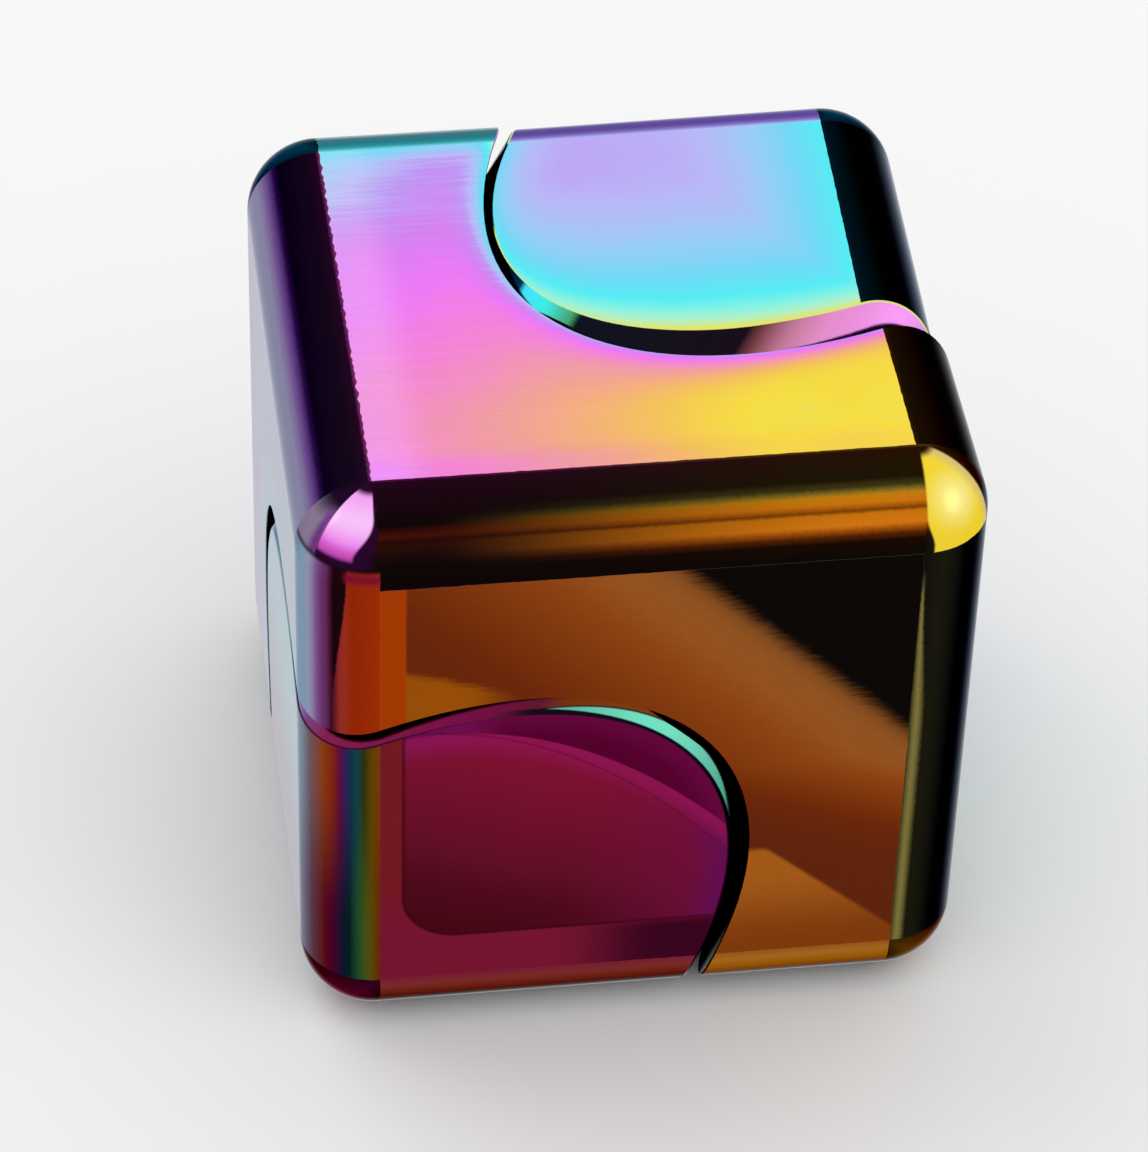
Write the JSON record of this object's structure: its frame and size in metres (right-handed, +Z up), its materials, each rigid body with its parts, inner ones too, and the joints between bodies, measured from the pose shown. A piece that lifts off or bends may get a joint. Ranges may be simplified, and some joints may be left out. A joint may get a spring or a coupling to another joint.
{
  "type": "fidget cube with turning corner caps",
  "caption": "Rounded metal cube cut into a middle body and opposite corner caps; the body spins on a ball bearing about the diagonal while finger and thumb hold the caps.",
  "frame": {"origin": "centre of the cube, on the spin axis", "axes": "+X right, +Y back, +Z up with the cube on its bottom face; the spin axis is the body diagonal from (-,-,-) to (+,+,+)"},
  "size_m": [0.0286, 0.0286, 0.0286],
  "materials": {
    "rainbow_body": "polished zinc alloy under a thin rainbow vapour coating, finely milled",
    "rainbow_cap": "polished zinc alloy under a thin rainbow vapour coating",
    "ring_steel": "ground bearing steel",
    "ball_steel": "lapped bearing steel",
    "cage_brass": "machined",
    "shield_steel": "pressed sheet",
    "spring_steel": "drawn wire",
    "black_steel": "black oxide",
    "shim_brass": "rolled shim stock"
  },
  "bodies": {
    "grip": {"lower_corner_cap": "rainbow_cap", "threaded_stud": "black_steel", "bearing_inner_ring": "ring_steel", "upper_shim": "shim_brass", "lower_shim": "shim_brass"},
    "upper_grip": {"upper_corner_cap": "rainbow_cap"},
    "spinner": {"cube_body": "rainbow_body", "bearing_outer_ring": "ring_steel", "bearing_shield_upper": "shield_steel", "bearing_shield_lower": "shield_steel", "shield_wire_upper": "spring_steel", "shield_wire_lower": "spring_steel", "bearing_retaining_ring": "spring_steel"},
    "ball_train": {"bearing_cage": "cage_brass"},
    "ball_01_body": {"ball_01": "ball_steel"},
    "ball_02_body": {"ball_02": "ball_steel"},
    "ball_03_body": {"ball_03": "ball_steel"},
    "ball_04_body": {"ball_04": "ball_steel"},
    "ball_05_body": {"ball_05": "ball_steel"},
    "ball_06_body": {"ball_06": "ball_steel"},
    "ball_07_body": {"ball_07": "ball_steel"},
    "ball_08_body": {"ball_08": "ball_steel"},
    "ball_09_body": {"ball_09": "ball_steel"},
    "ball_10_body": {"ball_10": "ball_steel"}
  },
  "joints": [
    {"name": "body_spin", "type": "hinge", "parent": "grip", "child": "spinner", "pos_m": [0, 0, 0], "axis": [0.5774, 0.5774, 0.5774], "continuous": true},
    {"name": "upper_cap_clocking", "type": "hinge", "parent": "grip", "child": "upper_grip", "pos_m": [0, 0, 0], "axis": [0.5774, 0.5774, 0.5774], "range_deg": [-10, 10]},
    {"name": "cage_orbit", "type": "hinge", "parent": "grip", "child": "ball_train", "pos_m": [0, 0, 0], "axis": [0.5774, 0.5774, 0.5774], "continuous": true},
    {"name": "ball_01_roll", "type": "hinge", "parent": "ball_train", "child": "ball_01_body", "pos_m": [0.00337, -0.00337, 0], "axis": [0.5774, 0.5774, 0.5774], "continuous": true},
    {"name": "ball_02_roll", "type": "hinge", "parent": "ball_train", "child": "ball_02_body", "pos_m": [0.00387, -0.00158, -0.00229], "axis": [0.5774, 0.5774, 0.5774], "continuous": true},
    {"name": "ball_03_roll", "type": "hinge", "parent": "ball_train", "child": "ball_03_body", "pos_m": [0.00289, 0.00081, -0.0037], "axis": [0.5774, 0.5774, 0.5774], "continuous": true},
    {"name": "ball_04_roll", "type": "hinge", "parent": "ball_train", "child": "ball_04_body", "pos_m": [0.00081, 0.00289, -0.0037], "axis": [0.5774, 0.5774, 0.5774], "continuous": true},
    {"name": "ball_05_roll", "type": "hinge", "parent": "ball_train", "child": "ball_05_body", "pos_m": [-0.00158, 0.00387, -0.00229], "axis": [0.5774, 0.5774, 0.5774], "continuous": true},
    {"name": "ball_06_roll", "type": "hinge", "parent": "ball_train", "child": "ball_06_body", "pos_m": [-0.00337, 0.00337, 0], "axis": [0.5774, 0.5774, 0.5774], "continuous": true},
    {"name": "ball_07_roll", "type": "hinge", "parent": "ball_train", "child": "ball_07_body", "pos_m": [-0.00387, 0.00158, 0.00229], "axis": [0.5774, 0.5774, 0.5774], "continuous": true},
    {"name": "ball_08_roll", "type": "hinge", "parent": "ball_train", "child": "ball_08_body", "pos_m": [-0.00289, -0.00081, 0.0037], "axis": [0.5774, 0.5774, 0.5774], "continuous": true},
    {"name": "ball_09_roll", "type": "hinge", "parent": "ball_train", "child": "ball_09_body", "pos_m": [-0.00081, -0.00289, 0.0037], "axis": [0.5774, 0.5774, 0.5774], "continuous": true},
    {"name": "ball_10_roll", "type": "hinge", "parent": "ball_train", "child": "ball_10_body", "pos_m": [0.00158, -0.00387, 0.00229], "axis": [0.5774, 0.5774, 0.5774], "continuous": true}
  ],
  "couplings": [
    {"joint": "cage_orbit", "follows": "body_spin", "ratio": 0.58336},
    {"joint": "ball_01_roll", "follows": "body_spin", "ratio": 2.9157},
    {"joint": "ball_02_roll", "follows": "body_spin", "ratio": 2.9157},
    {"joint": "ball_03_roll", "follows": "body_spin", "ratio": 2.9157},
    {"joint": "ball_04_roll", "follows": "body_spin", "ratio": 2.9157},
    {"joint": "ball_05_roll", "follows": "body_spin", "ratio": 2.9157},
    {"joint": "ball_06_roll", "follows": "body_spin", "ratio": 2.9157},
    {"joint": "ball_07_roll", "follows": "body_spin", "ratio": 2.9157},
    {"joint": "ball_08_roll", "follows": "body_spin", "ratio": 2.9157},
    {"joint": "ball_09_roll", "follows": "body_spin", "ratio": 2.9157},
    {"joint": "ball_10_roll", "follows": "body_spin", "ratio": 2.9157}
  ]
}
